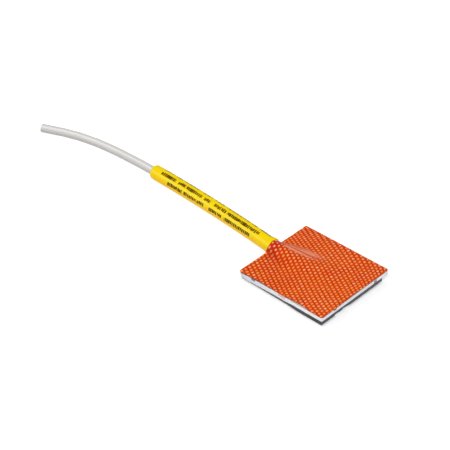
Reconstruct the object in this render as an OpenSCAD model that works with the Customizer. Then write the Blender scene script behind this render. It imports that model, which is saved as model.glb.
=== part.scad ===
// Flexible surface temperature sensor: a woven silicone patch on a foam pad and a
// rubber base sheet, with a moulded hood where the sleeved lead enters it.
// Origin: middle of the patch's underside. +Z is up, and the lead leaves towards -X.

/* [Patch] */
// Side of the square patch
patch_side = 25.4; // [20:0.2:32]
// Radius of the patch's corners
corner_r = 0.5; // [0.2:0.1:2]
// Thickness of the woven cover sheet, up to the crowns of its threads
cover_t = 0.3; // [0.2:0.05:0.5]
// Thickness of the white foam pad
pad_t = 1.15; // [1.1:0.05:2]
// How far the pad's near rim sags over the base sheet's trimmed edge
rim_sag = 0.6; // [0.1:0.05:0.8]
// Thickness of the dark base sheet
base_t = 1; // [0.5:0.05:2]
// Distance that the base sheet is trimmed back on the lead's side
base_in = 0.8; // [0.2:0.1:1]
// Distance that the base sheet is trimmed back on the side away from the lead
base_end_in = 0.2; // [0:0.1:1]
// Distance that its last corner is trimmed back, where the cut runs out of square
base_skew_in = 2; // [0:0.1:3]

/* [Weave] */
// Pitch of the threads that run across the lead's direction
warp_pitch = 0.83; // [0.7:0.01:1.6]
// Pitch of the threads that run along the lead's direction
weft_pitch = 0.64; // [0.52:0.02:1.4]
// Angle between the lengthwise threads and the patch's edge
weft_skew = 8; // [0:0.5:12]
// Angle between the crosswise threads and the patch's edge
warp_skew = 1.8; // [0:0.2:5]
// Height of the crosswise threads' crowns over the hollows between threads
warp_crown = 0.1; // [0.04:0.01:0.15]
// Height of the lengthwise threads' crowns over the same hollows
weft_crown = 0.05; // [0.02:0.01:0.08]

/* [Hood] */
// Length of the hood, from the patch's edge to where it runs out
hood_len = 20; // [18:0.5:24]
// Half-width of its near flank at the mouth
hood_mouth_near = 2.55; // [2.4:0.05:3.2]
// Half-width of its far flank at the mouth
hood_mouth_far = 2.85; // [2.7:0.05:3.5]
// Half-width of its near flank at the inner end
hood_near_half = 11; // [8:0.5:12]
// Half-width of its far flank at the inner end
hood_far_half = 8.6; // [7:0.2:11]
// Place of its ridge across the patch, at the mouth
hood_y = -0.35; // [-0.6:0.05:0.1]
// Place of its ridge at the inner end
hood_end_y = 1.1; // [-0.4:0.1:1.4]
// How fast the ridge falls away from the mouth
hood_fall = 1.25; // [1:0.05:1.7]

/* [Lead] */
// Outer diameter of the yellow sleeve
sleeve_d = 3.94; // [3.84:0.02:4.3]
// Wall of the yellow sleeve
sleeve_wall = 0.47; // [0.3:0.01:0.55]
// Length of the sleeve outside the patch
sleeve_len = 42.8; // [20:0.2:70]
// Bend of the sleeve from its mouth in the patch to its far end, in degrees
sleeve_bend = 5.3; // [2:0.1:12]
// Turn of the sleeve from the patch's own direction at the hood, in degrees
sleeve_yaw = 8; // [0:0.5:10]
// Place of the sleeve's axis across the patch, at the patch's edge
mouth_y = 0.05; // [-0.2:0.05:0.3]
// Outer diameter of the lead's jacket
jacket_d = 2.3; // [2.2:0.02:2.4]
// Outer diameter of each insulated core
core_d = 0.8; // [0.7:0.01:0.86]
// Diameter of one strand of a core's conductor
strand_d = 0.15; // [0.1:0.002:0.154]

/* [Element] */
// Length of the sensing chip
chip_l = 2.3; // [1.6:0.1:3]
// Width of the sensing chip
chip_w = 2; // [1.6:0.1:2.2]
// Thickness of the chip's ceramic
chip_t = 0.65; // [0.4:0.05:0.7]
// Width of the platinum track's legs
track_w = 0.07; // [0.04:0.01:0.09]
// Diameter of the chip's own leads
wire_d = 0.2; // [0.14:0.01:0.24]

/* [Hidden] */

// Round surfaces
round_fn = 48;
fine_fn = 24;
run_fn = 1440;

// Heights of the patch's layers
pad_z = base_t;
cover_z = base_t + pad_t;
top_z = cover_z + cover_t;
edge_x = -patch_side / 2;

// Clearances
fit_gap = 0.02;
bond_gap = 0.05;
hood_gap = 0.16;
hood_tuck = 1.05;

// Place of the threads' crossings against the middle of the patch, in pitches
weave_shift = [-0.08, 0.56];

// The sleeve: it flares against the hood's lip and necks down under it
sleeve_r = sleeve_d / 2;
flare_r = sleeve_r + 0.22;
flare_len = 1.9;
neck_r = sleeve_r - 0.48;
neck_tip_r = neck_r - 0.16;
neck_grow = 0.3;
neck_len = 1.1;
neck_seat = 0.27;
neck_gap = 0.26;
mouth_z = base_t + neck_tip_r + neck_seat;
hood_h = mouth_z + neck_r + neck_gap - cover_z;

// The lead's own frame: its arc starts at the hood's mouth and ends on the floor
jacket_r = jacket_d / 2;
bend_r = sleeve_len / (sleeve_bend * PI / 180);
reach = bend_r * sin(sleeve_bend);
sleeve_drop = asin(mouth_z / norm([reach, sleeve_r])) - atan(sleeve_r / reach);
mouth = [edge_x, mouth_y, mouth_z];
out_dir = frame_x(180 - sleeve_yaw, sleeve_drop);
side_dir = [-sin(180 - sleeve_yaw), cos(180 - sleeve_yaw), 0];
up_dir = cross(out_dir, side_dir);

// The cores in the jacket: one on the near side, and a pair one over the other
core_r = core_d / 2;
core_ring = core_r / cos(30);
core_places = [[core_ring, 0], [-core_ring / 2, core_r], [-core_ring / 2, -core_r]];
jacket_bore_r = core_ring + core_r + fit_gap;
strand_r = strand_d / 2;
strand_pitch = strand_d + 0.004;
conductor_r = strand_pitch + strand_r;
core_bore_r = conductor_r + fit_gap;

// Where each layer of the lead ends inside the hood
jacket_in = 1.7;
insulation_in = 2.2;
splice_in = 2.5;
conductor_in = 3.6;
splice_len = 1.6;
splice_wall = 0.08;
lead_stop = splice_in + splice_len + 0.3;
wire_r = wire_d / 2;
wire_half = 0.85;
wire_dip = 8.5;

// The chip lies in the pad's pocket, on the base sheet
chip_z = base_t + chip_t;
track_t = 0.03;
glass_t = 0.12;
bead_t = 0.42;
terminal = 0.5;
terminal_y = chip_w / 4;
pocket_gap = 0.2;

// Route of the free cable after the sleeve, along the floor
cable_points = [
    [-57.4, 4.1, 1.92],
    [-59.4, 4.2, 1.86],
    [-61.4, 4.3, 1.76],
    [-63.5, 4.4, 1.64],
    [-65.6, 4.5, 1.5],
    [-67.8, 4.6, 1.36],
    [-70, 4.6, 1.24],
    [-72, 4.5, 1.18],
    [-74, 4.3, 1.16],
    [-76, 4.1, 1.16],
    [-78, 3.7, 1.16],
    [-80, 3.3, 1.16],
    [-82, 2.8, 1.16],
    [-84, 2.1, 1.16],
    [-86, 1.4, 1.16],
    [-88, 0.5, 1.16],
    [-90, -0.4, 1.16],
    [-91.7, -1.2, 1.16]
];
cable_sides = 8;

// First axis of a frame turned by a about Z and dipped by b
function frame_x(a, b) = [cos(a) * cos(b), sin(a) * cos(b), -sin(b)];

// A point of the lead, s along its arc, with side and height offsets
function lead_point(s, side = 0, height = 0) =
    let (a = s / bend_r * 180 / PI)
    mouth
    + out_dir * (bend_r - side) * sin(a)
    + side_dir * (bend_r - (bend_r - side) * cos(a))
    + up_dir * height;

// Direction of the lead at s along its arc
function lead_dir(s) =
    let (a = s / bend_r * 180 / PI)
    out_dir * cos(a) + side_dir * sin(a);

function unit(v) = v / norm(v);
function clamped(v) = max(0, min(1, v));
function mix(a, b, k) = a + (b - a) * k;

// Half-width of the hood on one side, k of the way along it
function hood_half(k, far) =
    far
        ? mix(hood_mouth_far, hood_far_half, pow(k, 0.64))
        : mix(hood_mouth_near, hood_near_half, pow(k, 1.25));

// Place of the hood's ridge across the patch, k of the way along it
function ridge_y(k) = mix(hood_y, hood_end_y, k);

// Height of the hood over the flat sheet
function hood(x, y) =
    let (
        k = clamped((x - edge_x) / hood_len),
        across = y - ridge_y(k),
        far = across > 0,
        u = clamped(abs(across) / hood_half(k, far)),
        shoulder = mix(1.9, far ? 1.7 : 1.3, sqrt(k)),
        foot = mix(0.87, far ? 2.5 : 1.7, sqrt(k))
    )
    hood_h * pow(1 - k, hood_fall) * pow(1 - pow(u, shoulder), foot);

// Points of a ring round centre c, square to direction d
function ring(c, d, r, sides) =
    let (side = unit(cross(d, [0, 0, 1])), up = cross(side, unit(d)))
    [for (a = [0 : sides - 1]) c + r * (cos(a * 360 / sides) * side + sin(a * 360 / sides) * up)];

// A cubic curve from a to d, with b and c as its handles
function curve(a, b, c, d, n) = [
    for (i = [0 : n])
        let (t = i / n, m = 1 - t)
        a * m * m * m + 3 * b * m * m * t + 3 * c * m * t * t + d * t * t * t
];

// Round bar swept along a path, whose first ring is square to start
module swept(path, r, sides, start) {
    last = len(path) - 1;
    rings = [
        for (i = [0 : last])
            let (d = i == 0 ? start : path[min(i + 1, last)] - path[i - 1])
            each ring(path[i], d, r, sides)
    ];
    walls = [
        for (i = [0 : last - 1], a = [0 : sides - 1])
            let (b = (a + 1) % sides, p = i * sides, q = p + sides)
            each [[p + a, p + b, q + b], [p + a, q + b, q + a]]
    ];
    ends = [
        [for (a = [sides - 1 : -1 : 0]) a],
        [for (a = [0 : sides - 1]) last * sides + a]
    ];
    polyhedron(points = rings, faces = concat(walls, ends));
}

// Places its children in the lead's frame, with X along the lead at the mouth
module lead_frame() {
    translate(mouth) rotate([0, sleeve_drop, 180 - sleeve_yaw]) children();
}

// Round run along the lead's arc, from s0 to s1
module lead_run(s0, s1, r, side = 0, height = 0, sides = round_fn) {
    turn = 180 / (PI * bend_r);
    lead_frame()
        translate([0, bend_r, 0])
            rotate([0, 0, s0 * turn - 90])
                rotate_extrude(angle = (s1 - s0) * turn, $fn = run_fn)
                    translate([bend_r - side, height])
                        circle(r, $fn = sides);
}

// Cone along the lead's first straight stretch
module lead_cone(s0, s1, r0, r1) {
    lead_frame()
        translate([s0, 0, 0])
            rotate([0, 90, 0])
                cylinder(h = s1 - s0, r1 = r0, r2 = r1, $fn = round_fn);
}

// Outline of the patch, with its rounded corners
module patch_outline() {
    straight = patch_side - 2 * corner_r;
    square([patch_side, straight], center = true);
    square([straight, patch_side], center = true);
    for (x = [-1, 1], y = [-1, 1])
        translate([x, y] * straight / 2) circle(corner_r, $fn = round_fn);
}

// Plan of the slot that takes the sleeve's neck and the lead's end
module lead_slot(inset = 0) {
    neck_half = neck_r + 0.15 - inset;
    lead_half = jacket_r + 0.1 - inset;
    translate([edge_x, mouth_y])
        rotate([0, 0, -sleeve_yaw]) {
            translate([-1, -neck_half]) square([2.4 - inset, 2 * neck_half]);
            translate([0, -lead_half]) square([lead_stop - inset, 2 * lead_half]);
        }
}

// Slot through the pad: it takes the lead's end, the chip's wires and the chip
module wire_slot() {
    pocket = [chip_l + 2 * pocket_gap, chip_w + 2 * pocket_gap];
    wire_start = [edge_x, mouth_y] + [cos(sleeve_yaw), -sin(sleeve_yaw)] * (lead_stop - 0.5);
    lead_slot();
    polygon([
        wire_start - [0, wire_half],
        [-chip_l / 2, -wire_half],
        [-chip_l / 2, wire_half],
        wire_start + [0, wire_half]
    ]);
    square(pocket, center = true);
}

// Everything on the outer side of the patch's edge
module beyond_edge() {
    translate([edge_x - 20, -patch_side, -1]) cube([20, 2 * patch_side, 12]);
}

// Woven sheet, draped over the hood and larger than the patch on every side.
// Each crossing of two threads is a low pyramid, and every second one stands higher.
module woven_sheet() {
    lean = tan(weft_skew);
    slant = tan(warp_skew);
    half = patch_side / 2 + 0.6;
    columns = 2 * ceil((half + slant * half) / warp_pitch);
    rows = 2 * ceil((half + lean * half) / weft_pitch);
    hollow_z = top_z - warp_crown;
    function plan(i, j) =
        let (
            a = (i - columns / 2 + weave_shift[0]) * warp_pitch,
            b = (j - rows / 2 + weave_shift[1]) * weft_pitch
        )
        [a + slant * b, b + lean * a];
    function at(p, z) = [p[0], p[1], z + hood(p[0], p[1])];

    corners = [for (i = [0 : columns], j = [0 : rows]) at(plan(i, j), hollow_z)];
    crossings = [
        for (i = [0 : columns - 1], j = [0 : rows - 1])
            let (crown = (i + j + (columns + rows) / 2) % 2 == 0 ? warp_crown : weft_crown)
            at(plan(i + 0.5, j + 0.5), hollow_z + crown)
    ];
    unders = [for (i = [0 : 2 : columns], j = [0 : rows]) at(plan(i, j), cover_z)];
    function corner(i, j) = i * (rows + 1) + j;
    function crossing(i, j) = len(corners) + i * rows + j;
    function under(i, j) = len(corners) + len(crossings) + i / 2 * (rows + 1) + j;

    tops = [
        for (i = [0 : columns - 1], j = [0 : rows - 1])
            let (m = crossing(i, j), a = corner(i, j), b = corner(i + 1, j))
            each [[m, b, a], [m, b + 1, b], [m, a + 1, b + 1], [m, a, a + 1]]
    ];
    bottoms = [
        for (i = [0 : 2 : columns - 2], j = [0 : rows - 1])
            let (a = under(i, j), b = under(i + 2, j))
            each [[a, b, b + 1], [a, b + 1, a + 1]]
    ];
    ends = [
        for (j = [0 : rows - 1])
            each [
                [corner(0, j), under(0, j), under(0, j + 1)],
                [corner(0, j), under(0, j + 1), corner(0, j + 1)],
                [corner(columns, j), under(columns, j + 1), under(columns, j)],
                [corner(columns, j), corner(columns, j + 1), under(columns, j + 1)]
            ]
    ];
    sides = [
        for (i = [0 : 2 : columns - 2])
            each [
                [under(i, 0), corner(i, 0), corner(i + 1, 0)],
                [under(i, 0), corner(i + 1, 0), under(i + 2, 0)],
                [under(i + 2, 0), corner(i + 1, 0), corner(i + 2, 0)],
                [under(i, rows), corner(i + 1, rows), corner(i, rows)],
                [under(i, rows), under(i + 2, rows), corner(i + 1, rows)],
                [under(i + 2, rows), corner(i + 2, rows), corner(i + 1, rows)]
            ]
    ];
    polyhedron(
        points = concat(corners, crossings, unders),
        faces = concat(tops, bottoms, ends, sides)
    );
}

module cover_sheet() {
    color([0.84, 0.3, 0.1])
        intersection() {
            woven_sheet();
            translate([0, 0, base_t])
                linear_extrude(height = pad_t + cover_t + hood_h + 1) patch_outline();
        }
}

// Rim that hangs from the pad's near edge, and rises to nothing at the far corner
module pad_rim() {
    half = patch_side / 2;
    sag = min(rim_sag, base_t - 0.2);
    back = base_in - bond_gap;
    left = -half + max(base_in, corner_r + 0.1);
    right = half - max(corner_r, base_end_in + 0.5);
    intersection() {
        translate([0, 0, base_t - sag])
            linear_extrude(height = sag + pad_t / 4)
                polygon([
                    [-half + corner_r, -half],
                    [right, -half],
                    [left, -half + back],
                    [-half + corner_r, -half + back]
                ]);
        translate([half, 0, base_t])
            rotate([0, -atan(sag / patch_side), 0])
                translate([-patch_side - 2, -patch_side, 0])
                    cube([patch_side + 4, 2 * patch_side, 3]);
    }
}

module foam_pad() {
    color([0.9, 0.91, 0.94])
        union() {
            translate([0, 0, pad_z])
                linear_extrude(height = pad_t)
                    difference() {
                        patch_outline();
                        wire_slot();
                    }
            pad_rim();
        }
}

module base_sheet() {
    half = patch_side / 2;
    color([0.2, 0.2, 0.22])
        linear_extrude(height = base_t)
            polygon([
                [-half + base_in, -half + base_in],
                [half - base_end_in, -half],
                [half - base_end_in, half - base_skew_in],
                [-half + base_in, half - base_in]
            ]);
}

// Filling of the hood, just under the cover sheet
module hood_mass() {
    stations = 12;
    lanes = 14;
    stop = 0.45;
    floor_z = cover_z + bond_gap;
    rim_z = floor_z + 0.06;
    function place(i, j) =
        let (
            k = mix(-0.03, stop, i / stations),
            spread = mix(0.9, 0.55, i / stations),
            v = (2 * j / lanes - 1) * spread,
            x = edge_x + k * hood_len
        )
        [x, ridge_y(max(k, 0)) + v * hood_half(max(k, 0), v > 0)];
    tops = [
        for (i = [0 : stations], j = [0 : lanes])
            let (p = place(i, j), mid = place(i, lanes / 2)[1], y = mid + (p[1] - mid) * hood_tuck)
            [p[0], p[1], max(rim_z, cover_z + hood(p[0], y) - hood_gap)]
    ];
    floors = [
        for (i = [0 : stations], j = [0 : lanes])
            let (p = place(i, j)) [p[0], p[1], floor_z]
    ];
    wide = lanes + 1;
    under = len(tops);
    skins = [
        for (i = [0 : stations - 1], j = [0 : lanes - 1])
            let (a = i * wide + j, b = a + wide)
            each [
                [a, b + 1, b],
                [a, a + 1, b + 1],
                [under + a, under + b, under + b + 1],
                [under + a, under + b + 1, under + a + 1]
            ]
    ];
    flanks = [
        for (i = [0 : stations - 1])
            let (a = i * wide, b = a + wide, c = a + lanes, d = b + lanes)
            each [
                [a, b, under + b],
                [a, under + b, under + a],
                [c, under + d, d],
                [c, under + c, under + d]
            ]
    ];
    ends = [
        for (j = [0 : lanes - 1])
            let (a = j, b = stations * wide + j)
            each [
                [a, under + a, under + a + 1],
                [a, under + a + 1, a + 1],
                [b, under + b + 1, under + b],
                [b, b + 1, under + b + 1]
            ]
    ];
    polyhedron(points = concat(tops, floors), faces = concat(skins, flanks, ends));
}

// Channel down through the filling, for the chip's wires
module wire_channel() {
    start = lead_point(-splice_in - splice_len);
    low = start[1] - wire_half;
    translate([start[0], low, start[2]])
        rotate([0, wire_dip, 0])
            translate([-0.3, 0, -2]) cube([6.3, wire_half - low, 2.35]);
}

module hood_filling() {
    color([0.72, 0.2, 0.08])
        difference() {
            union() {
                hood_mass();
                translate([0, 0, pad_z + fit_gap])
                    linear_extrude(height = pad_t + 0.4) lead_slot(bond_gap);
            }
            beyond_edge();
            lead_cone(-neck_len - fit_gap, 1, neck_tip_r + fit_gap, neck_tip_r + neck_grow + fit_gap);
            lead_run(-jacket_in - fit_gap, 1, jacket_r + fit_gap);
            lead_run(-splice_in - splice_len - bond_gap, 0, jacket_bore_r);
            wire_channel();
        }
}

module shrink_sleeve() {
    bore_r = sleeve_r - sleeve_wall;
    color([1, 0.85, 0.02])
        difference() {
            union() {
                difference() {
                    union() {
                        lead_run(-0.4, sleeve_len, sleeve_r);
                        lead_cone(-0.5, flare_len, flare_r, sleeve_r - 0.03);
                    }
                    translate([edge_x - fit_gap, -patch_side, -1])
                        cube([10, 2 * patch_side, 12]);
                }
                lead_cone(-neck_len, 1, neck_tip_r, neck_tip_r + neck_grow);
            }
            lead_run(0.8, sleeve_len + 1, bore_r);
            lead_run(-neck_len - 1, 1.2, jacket_r + fit_gap);
        }
}

module sleeve_lining() {
    color([0.86, 0.72, 0.3])
        difference() {
            lead_run(0.8 + fit_gap, sleeve_len - 0.4, sleeve_r - sleeve_wall - fit_gap);
            lead_run(0, sleeve_len, jacket_r + fit_gap);
        }
}

module jacket_end() {
    color([0.8, 0.8, 0.78])
        difference() {
            lead_run(-jacket_in, sleeve_len, jacket_r);
            lead_run(-jacket_in - 1, sleeve_len + 1, jacket_bore_r);
        }
}

module free_cable() {
    color([0.8, 0.8, 0.78])
        swept(
            concat([lead_point(sleeve_len)], cable_points),
            jacket_r,
            cable_sides,
            lead_dir(sleeve_len)
        );
}

// Insulation of one core
module insulation(i, tint) {
    side = core_places[i][0];
    height = core_places[i][1];
    color(tint)
        difference() {
            lead_run(-insulation_in, sleeve_len, core_r - fit_gap / 2, side, height, fine_fn);
            lead_run(-insulation_in - 1, sleeve_len + 1, core_bore_r, side, height, fine_fn);
        }
}

// Seven strands of one core, six round one
module conductor(i) {
    side = core_places[i][0];
    height = core_places[i][1];
    color([0.8, 0.78, 0.74]) {
        lead_run(-conductor_in, sleeve_len, strand_r, side, height, fine_fn);
        for (a = [0 : 60 : 300])
            lead_run(
                -conductor_in,
                sleeve_len,
                strand_r,
                side + strand_pitch * cos(a),
                height + strand_pitch * sin(a),
                fine_fn
            );
    }
}

// Flat oval over the pair of conductors
module splice_double_body() {
    r = core_bore_r + splice_wall;
    turn = 180 / (PI * bend_r);
    s0 = -splice_in - splice_len;
    side = core_places[1][0];
    lead_frame()
        translate([0, bend_r, 0])
            rotate([0, 0, s0 * turn - 90])
                rotate_extrude(angle = splice_len * turn, $fn = run_fn)
                    translate([bend_r - side, 0]) {
                        square([1.9 * r, 2 * core_r], center = true);
                        for (h = [-core_r, core_r])
                            translate([0, h]) circle(r, $fn = fine_fn);
                    }
}

module splice_single() {
    side = core_places[0][0];
    height = core_places[0][1];
    color([0.74, 0.74, 0.7])
        difference() {
            lead_run(
                -splice_in - splice_len,
                -splice_in,
                core_bore_r + splice_wall,
                side,
                height,
                fine_fn
            );
            lead_run(-conductor_in - fit_gap, 0, core_bore_r, side, height, fine_fn);
            lead_run(-splice_in - splice_len - 1, -splice_in - 0.5, wire_r + 0.01, side, height, fine_fn);
        }
}

module splice_double() {
    side = core_places[1][0];
    color([0.74, 0.74, 0.7])
        difference() {
            splice_double_body();
            for (h = [-core_r, core_r])
                lead_run(-conductor_in - fit_gap, 0, core_bore_r, side, h, fine_fn);
            lead_run(-splice_in - splice_len - 1, -conductor_in, wire_r + 0.01, side, 0, fine_fn);
        }
}

// Path of one of the chip's wires, from its splice to its terminal
function wire_path(side, y) =
    let (
        start = lead_point(-conductor_in - 0.1, side),
        out = lead_point(-splice_in - splice_len - 0.3, side),
        landing = [-chip_l / 2 + terminal, y, chip_z + track_t + wire_r + 0.005],
        above = landing - [terminal + 0.6, 0, 0]
    )
    concat(
        [start],
        curve(out, out - lead_dir(0) * 2, above - [2, 0, 0], above, 7),
        [landing]
    );

module chip_wire(side, y, grow = 0) {
    path = wire_path(side, y);
    swept(path, wire_r + grow, 8, path[1] - path[0]);
}

module chip_wire_1() {
    color([0.8, 0.78, 0.74]) chip_wire(core_places[0][0], -terminal_y);
}

module chip_wire_2() {
    color([0.8, 0.78, 0.74]) chip_wire(core_places[1][0], terminal_y);
}

module wire_envelope() {
    chip_wire(core_places[0][0], -terminal_y, fit_gap);
    chip_wire(core_places[1][0], terminal_y, fit_gap);
}

module sensing_chip() {
    color([0.95, 0.95, 0.92])
        translate([-chip_l / 2, -chip_w / 2, base_t]) cube([chip_l, chip_w, chip_t]);
}

// Meander of the platinum film and its two terminals, in plan
module track_outline(grow = 0) {
    legs = 7;
    margin = 0.15;
    left = -chip_l / 2 + margin + terminal + 0.1;
    right = chip_l / 2 - margin;
    low = -chip_w / 2 + margin + track_w / 2;
    step = -2 * low / (legs - 1);
    w = track_w + 2 * grow;
    for (i = [0 : legs - 1])
        translate([left - grow, low + i * step - w / 2]) square([right - left + 2 * grow, w]);
    for (i = [0 : legs - 2])
        translate([i % 2 == 0 ? right - w + grow : left - grow, low + i * step - w / 2])
            square([w, step + w]);
    for (y = [-1, 1]) {
        translate([-chip_l / 2 + margin - grow, y * terminal_y - terminal / 2 - grow])
            square([terminal + 2 * grow, terminal + 2 * grow]);
        translate([-chip_l / 2 + margin + terminal / 2, y * -low - w / 2])
            square([left - (-chip_l / 2 + margin + terminal / 2) + w, w]);
        translate([-chip_l / 2 + margin + terminal / 2, y > 0 ? terminal_y : low - w / 2])
            square([w, -low - terminal_y + w / 2]);
    }
}

module platinum_track() {
    color([0.86, 0.87, 0.88])
        translate([0, 0, chip_z]) linear_extrude(height = track_t) track_outline();
}

// Glass over the meander, clear of the terminals
module chip_glass() {
    start = -chip_l / 2 + 0.15 + terminal + 0.03;
    color([0.5, 0.7, 0.62])
        translate([0, 0, chip_z])
            difference() {
                linear_extrude(height = glass_t)
                    translate([start, -chip_w / 2 + 0.05])
                        square([chip_l / 2 - 0.05 - start, chip_w - 0.1]);
                translate([0, 0, -0.1]) linear_extrude(height = track_t + 0.1) track_outline(0.002);
            }
}

// Bead over both terminals and the ends of the wires
module wire_bead() {
    color([0.88, 0.9, 0.84])
        difference() {
            translate([-chip_l / 2, -chip_w / 2 + 0.05, chip_z])
                cube([0.15 + terminal, chip_w - 0.1, bead_t]);
            translate([0, 0, chip_z - 0.1]) linear_extrude(height = track_t + 0.1) track_outline(0.002);
            wire_envelope();
        }
}

cover_sheet();
foam_pad();
base_sheet();
hood_filling();
shrink_sleeve();
sleeve_lining();
jacket_end();
free_cable();
insulation(0, [0.9, 0.9, 0.88]);  // insulation_1
insulation(1, [0.8, 0.12, 0.1]);  // insulation_2
insulation(2, [0.8, 0.12, 0.1]);  // insulation_3
conductor(0);  // conductor_1
conductor(1);  // conductor_2
conductor(2);  // conductor_3
splice_single();
splice_double();
chip_wire_1();
chip_wire_2();
sensing_chip();
platinum_track();
chip_glass();
wire_bead();
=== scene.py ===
import math

import bpy
import numpy as np
from mathutils import Matrix, Vector


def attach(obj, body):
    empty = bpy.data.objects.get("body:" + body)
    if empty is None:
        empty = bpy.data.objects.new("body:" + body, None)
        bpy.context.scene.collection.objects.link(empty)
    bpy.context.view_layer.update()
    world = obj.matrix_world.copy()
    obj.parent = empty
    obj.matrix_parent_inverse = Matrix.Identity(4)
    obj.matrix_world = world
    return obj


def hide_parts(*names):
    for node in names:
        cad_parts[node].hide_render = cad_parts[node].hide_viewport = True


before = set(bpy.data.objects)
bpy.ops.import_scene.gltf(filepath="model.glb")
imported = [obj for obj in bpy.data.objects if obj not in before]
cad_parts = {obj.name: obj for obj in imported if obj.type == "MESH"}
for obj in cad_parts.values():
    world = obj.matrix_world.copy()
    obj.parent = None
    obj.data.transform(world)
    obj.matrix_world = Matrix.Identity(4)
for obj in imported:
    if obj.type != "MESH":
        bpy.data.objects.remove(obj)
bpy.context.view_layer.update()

# A stick-on temperature sensor: a woven silicone cover on a pad and a base sheet, with a
# hood where the sleeved lead enters it, and a short cable with a plain cut.
# Sizes below are in millimetres, and meshes and lamps are made in metres.
MM = 0.001

# The patch: half its side, and the tops of its base, pad and cover. The bonded sheets
# keep a hair's breadth between them.
HALF = 12.7
BASE_TOP = 1.0
PAD_TOP = 2.15
COVER_TOP = 2.45
SEAM = 0.003
COVER_SEAM = 0.004

# Hand-cut edges, as pairs of a place along the edge and how far it is drawn in there.
# Near edges are measured along x, and right edges along y. What lies behind the edge moves
# with it, less and less up to the bow's reach.
COVER_NEAR_BOW = [
    (-12.7, 0.0), (-10.0, 0.22), (-6.0, 0.43), (-2.0, 0.2),
    (1.0, 0.17), (4.0, 0.42), (7.2, 0.42), (8.6, 0.0),
]
COVER_RIGHT_BOW = [(-6.0, 0.02), (-4.5, 0.12), (2.0, 0.12), (6.0, 0.02), (12.7, 0.07)]
PAD_NEAR_BOW = [(-12.7, 0.05), (-9.0, 0.34), (0.0, 0.28), (3.0, 0.1), (8.0, 0.0)]
BOW_REACH = 2.5

# How far the pad's near rim sags over the base, and how far in its underside starts there
PAD_NEAR_SAG = [(-12.7, 0.5), (-9.0, 0.45), (-3.0, 0.32), (1.5, 0.28), (3.2, 0.0)]
PAD_NEAR_SHELF = [(-11.4, 0.27), (10.0, 0.0)]

# The base sheet's corners, with the radius of each, and the height of the bites that are
# torn out of its underside along its right edge
BASE_CORNERS = [
    (-HALF + 1.3, -HALF + 0.97, 0.9),
    (2.0, -HALF + 0.43, 1.5),
    (5.5, -HALF + 0.1, 1.5),
    (HALF - 0.02, -HALF, 0.15),
    (HALF - 0.02, HALF - 2.0, 0.4),
    (-HALF + 0.8, HALF - 0.8, 0.3),
]
BASE_RIGHT_BITES = [
    (-7.75, 0.0), (-7.35, 0.44), (-6.6, 0.25), (-5.9, 0.16), (-4.9, 0.16),
    (-4.45, 0.5), (-3.8, 0.34), (-3.05, 0.22), (-2.0, 0.0),
]

# The weave: crosswise threads are its warp, and lengthwise ones its weft. The shift, in
# threads, sets where they lie at the middle of the patch.
WARP_PITCH = 0.83
WEFT_PITCH = 0.64
WARP_SLANT = math.tan(math.radians(1.8))
WEFT_LEAN = math.tan(math.radians(8))
WARP_CROWN = 0.1
WEFT_CROWN = 0.07
WEAVE_SHIFT = (-0.08, 0.56)

# Half the width of a thread, as a share of its pitch, and its mean height and the swing
# up and down as it passes over and under, as shares of its crown
WARP_HALF = 0.42
WEFT_HALF = 0.46
THREAD_MEAN = 0.55
THREAD_SWING = 0.45

# How far the hand-laid cloth's diagonal rows, and the steps along them, drift from straight
# ones: factors of a polynomial in x and y, in centimetres, with a line for each power
ROW_DRIFT = (
    0.03,
    -0.33, 0.26,
    -0.02, -0.61, 0.33,
    0.02, 0.29, -0.05, -0.12,
    0.04, 0.23, 0.09, 0.19, -0.2,
)
STEP_DRIFT = (
    -0.05,
    -0.24, 0.21,
    -0.34, -0.51, -0.35,
    0.15, -0.82, 0.22, 0.04,
    0.18, 0.27, -0.39, 0.34, 0.29,
)

# The hood over the lead's entry. It widens and flattens from its mouth, at the patch's
# left edge, to where it runs out. Shoulders and feet are the powers of its cross-section.
HOOD_LENGTH = 20
HOOD_RISE = 2.2
HOOD_FALL = 1.25
HOOD_Y = -0.35
HOOD_END_Y = 1.1
HOOD_MOUTH_NEAR = 2.55
HOOD_MOUTH_FAR = 2.85
HOOD_NEAR_HALF = 11
HOOD_FAR_HALF = 8.6
HOOD_NEAR_SPREAD = 1.25
HOOD_FAR_SPREAD = 0.64
MOUTH_SHOULDER = 1.9
NEAR_SHOULDER = 1.3
FAR_SHOULDER = 1.7
MOUTH_FOOT = 0.87
NEAR_FOOT = 1.7
FAR_FOOT = 2.5

# The lead: its sleeve leaves the hood's mouth in an arc down to the floor
SLEEVE_R = 1.97
SLEEVE_WALL = 0.47
SLEEVE_LENGTH = 42.8
SLEEVE_END = SLEEVE_LENGTH + 0.35
SLEEVE_BEND = math.radians(5.3)
SLEEVE_YAW = math.radians(8)
MOUTH = np.array([-HALF, 0.05, 2.6])

# The cable, from the sleeve's end to its plain cut
JACKET_R = 1.15
JACKET_BORE_R = 0.98
CABLE_POINTS = [
    (-57.4, 4.1, 1.92), (-59.4, 4.2, 1.86), (-61.4, 4.3, 1.76), (-63.5, 4.4, 1.64),
    (-65.6, 4.5, 1.5), (-67.8, 4.6, 1.36), (-70, 4.6, 1.24), (-72, 4.5, 1.18),
    (-74, 4.3, 1.16), (-76, 4.1, 1.16), (-78, 3.7, 1.16), (-80, 3.3, 1.16),
    (-82, 2.8, 1.16), (-84, 2.1, 1.16), (-86, 1.4, 1.16), (-88, 0.5, 1.16),
    (-90, -0.4, 1.16), (-91.7, -1.2, 1.16),
]

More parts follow.
